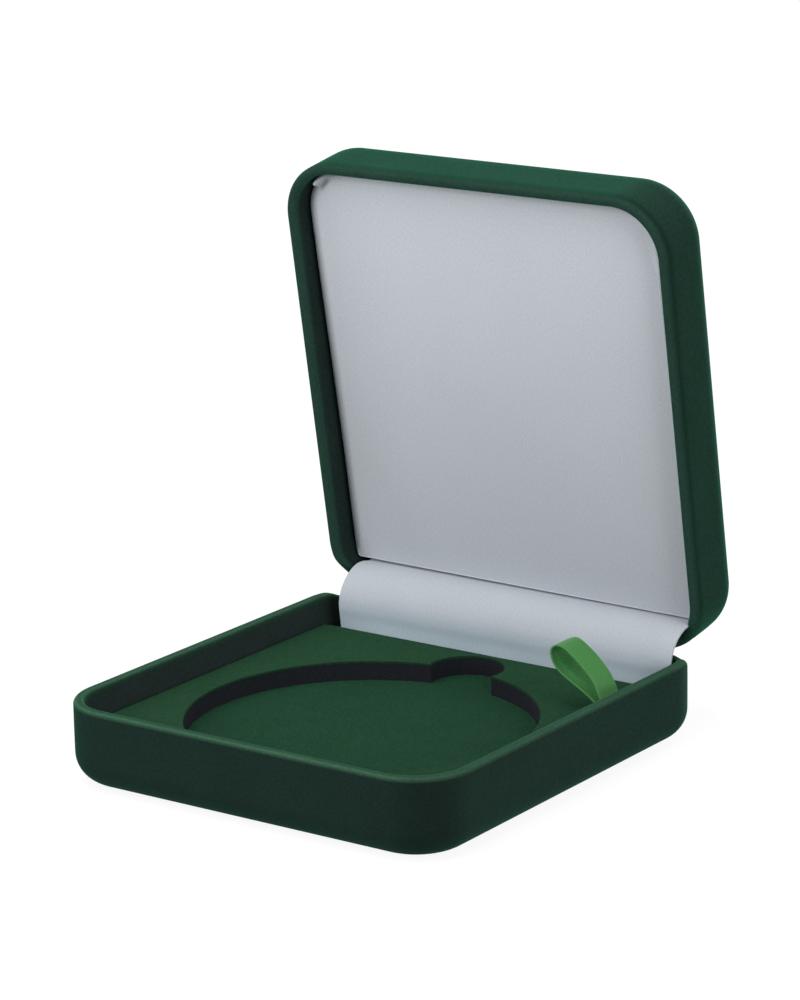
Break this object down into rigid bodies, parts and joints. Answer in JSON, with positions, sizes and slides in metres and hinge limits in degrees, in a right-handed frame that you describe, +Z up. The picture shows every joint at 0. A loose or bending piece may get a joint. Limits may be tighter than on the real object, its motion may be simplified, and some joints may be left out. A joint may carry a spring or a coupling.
{
  "type": "medal presentation case",
  "caption": "Velour-flocked clamshell case with a sprung rear hinge, a cut-out insert for a medal, a ribbon pull and a satin-lined lid.",
  "frame": {"origin": "centre of the flat underside, in plan the centre of the closed case", "axes": "+Z up, +Y towards the hinge, +X to the right of someone who faces the open case"},
  "size_m": [0.092, 0.1106, 0.1134],
  "materials": {
    "flocked_shell": "matte",
    "insert_velour": "matte",
    "foam": "matte",
    "card": "matte",
    "liner_paper": "matte",
    "wadding": "matte",
    "satin": "satin",
    "ribbon": "satin",
    "hinge_steel": "satin",
    "spring_steel": "satin"
  },
  "bodies": {
    "base": {"base_shell": "flocked_shell", "floor_liner": "liner_paper", "base_packing": "foam", "hinge_base_leaf": "hinge_steel", "hinge_pin": "hinge_steel", "snap_spring": "spring_steel", "flap_batten": "card", "hinge_flap": "satin"},
    "insert": {"insert_card": "card", "insert_foam": "foam", "insert_velour": "insert_velour", "recess_velour": "insert_velour", "ribbon_loop": "ribbon"},
    "lid": {"lid_shell": "flocked_shell", "lid_packing": "foam", "lid_board": "card", "lid_wadding": "wadding", "lid_satin": "satin", "hinge_lid_leaf": "hinge_steel"}
  },
  "joints": [
    {"name": "lid_hinge", "type": "hinge", "parent": "base", "child": "lid", "pos_m": [0, 0.04613, 0.01782], "axis": [1, 0, 0], "range_deg": [0, 80.8], "deforming": ["hinge_flap", "snap_spring", "ribbon_loop"]},
    {"name": "insert_lift", "type": "slide", "parent": "base", "child": "insert", "axis": [0, 0, 1], "range_m": [0, 0.01]}
  ]
}
